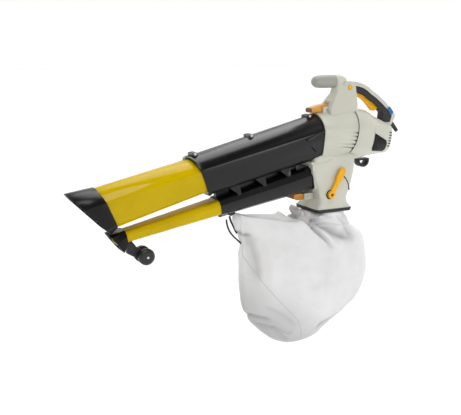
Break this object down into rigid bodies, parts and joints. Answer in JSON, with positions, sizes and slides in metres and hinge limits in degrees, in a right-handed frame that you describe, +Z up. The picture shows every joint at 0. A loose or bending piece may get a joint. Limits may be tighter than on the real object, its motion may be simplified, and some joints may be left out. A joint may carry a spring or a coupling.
{
  "type": "leaf vacuum mulcher",
  "caption": "Hand-held electric garden blower and leaf vacuum with double tube, slanted mouth, diverter lever, motor pod, two handles and a hanging cloth bag.",
  "frame": {"origin": "middle of the rear handle, where the hand holds the machine", "axes": "+X to the rear along the machine, +Y to the operator's right as they look along the tubes from behind with the lever on the left, +Z up with the machine held ready for use and its tubes sloping down to -X"},
  "size_m": [1.1499, 0.24, 0.8735],
  "materials": {
    "housing_grey": "satin light grey moulding",
    "black_plastic": "satin black moulding",
    "smoked_yellow": "glossy smoked yellow moulding",
    "control_yellow": "glossy yellow moulding",
    "latch_orange": "glossy orange moulding",
    "accent_blue": "matte blue pad",
    "soft_grip": "fine-textured grey soft grip",
    "soft_black": "fine-textured black soft grip",
    "wheel_grey": "matte dark grey roller",
    "steel": "bright steel",
    "alloy": "cast alloy",
    "iron": "laminated iron",
    "copper": "copper windings and bars",
    "carbon": "pressed carbon",
    "elastic": "black elastic cord",
    "bag_cloth": "white woven polyester"
  },
  "bodies": {
    "machine": {"housing_left": "housing_grey", "housing_right": "housing_grey", "motor_cover": "housing_grey", "rear_grille": "housing_grey", "strap_lug": "housing_grey", "vacuum_tube_front": "smoked_yellow", "blower_tube_front": "smoked_yellow", "vacuum_nozzle": "black_plastic", "blower_nozzle": "black_plastic", "rear_tube_left": "black_plastic", "rear_tube_right": "black_plastic", "wheel_bracket": "black_plastic", "bag_hook": "black_plastic", "bag_collar": "black_plastic", "label_left": "black_plastic", "label_right": "black_plastic", "switch": "black_plastic", "fan_back_plate": "black_plastic", "cord_boot": "soft_black", "grip_overmould": "soft_black", "front_grip": "soft_grip", "grip_accent": "accent_blue", "wheel_axle": "steel", "tube_screw_front": "steel", "tube_screw_middle": "steel", "tube_screw_rear": "steel", "housing_screw": "steel", "trigger_pin": "steel", "top_latch_pin": "steel", "bottom_latch_pin": "steel", "front_bearing": "steel", "rear_bearing": "steel", "field_stator": "iron", "brush_left": "carbon", "brush_right": "carbon", "bag_elastic": "elastic", "collection_bag": "bag_cloth"},
    "rotor": {"impeller": "alloy", "impeller_nut": "steel", "motor_shaft": "steel", "armature": "copper", "commutator": "copper", "cooling_fan": "black_plastic"},
    "selector": {"selector_lever": "control_yellow", "diverter_flap": "black_plastic"},
    "trigger_body": {"trigger": "control_yellow"},
    "lock_button": {"lock_off_button": "control_yellow"},
    "upper_catch": {"top_latch": "latch_orange"},
    "lower_catch": {"bottom_latch": "latch_orange"},
    "left_roller": {"roller_wheel_left": "wheel_grey"},
    "right_roller": {"roller_wheel_right": "wheel_grey"}
  },
  "joints": [
    {"name": "rotor_spin", "type": "hinge", "parent": "machine", "child": "rotor", "pos_m": [-0.085, 0, -0.121], "axis": [0.9848, 0, -0.1736], "continuous": true},
    {"name": "selector_turn", "type": "hinge", "parent": "machine", "child": "selector", "pos_m": [-0.184, 0, -0.309], "axis": [0, 1, 0], "range_deg": [0, 42]},
    {"name": "trigger_squeeze", "type": "hinge", "parent": "machine", "child": "trigger_body", "pos_m": [-0.071, 0, 0.007], "axis": [0, -1, 0], "range_deg": [0, 5], "stiffness_Nm_per_rad": 1.2, "springref_deg": -8.59},
    {"name": "lock_off_press", "type": "slide", "parent": "machine", "child": "lock_button", "axis": [0, 1, 0], "range_m": [0, 0.004], "stiffness_N_per_m": 500, "springref_m": -0.002},
    {"name": "upper_catch_lift", "type": "hinge", "parent": "machine", "child": "upper_catch", "pos_m": [-0.177, 0, -0.041], "axis": [0, 1, 0], "range_deg": [0, 18], "stiffness_Nm_per_rad": 0.8, "springref_deg": -11.46},
    {"name": "lower_catch_drop", "type": "hinge", "parent": "machine", "child": "lower_catch", "pos_m": [-0.245, 0, -0.317], "axis": [0, -1, 0], "range_deg": [0, 18], "stiffness_Nm_per_rad": 0.8, "springref_deg": -11.46},
    {"name": "left_roller_spin", "type": "hinge", "parent": "machine", "child": "left_roller", "pos_m": [-0.79506, 0, -0.44792], "axis": [0, 1, 0], "continuous": true},
    {"name": "right_roller_spin", "type": "hinge", "parent": "machine", "child": "right_roller", "pos_m": [-0.79506, 0, -0.44792], "axis": [0, 1, 0], "continuous": true}
  ]
}
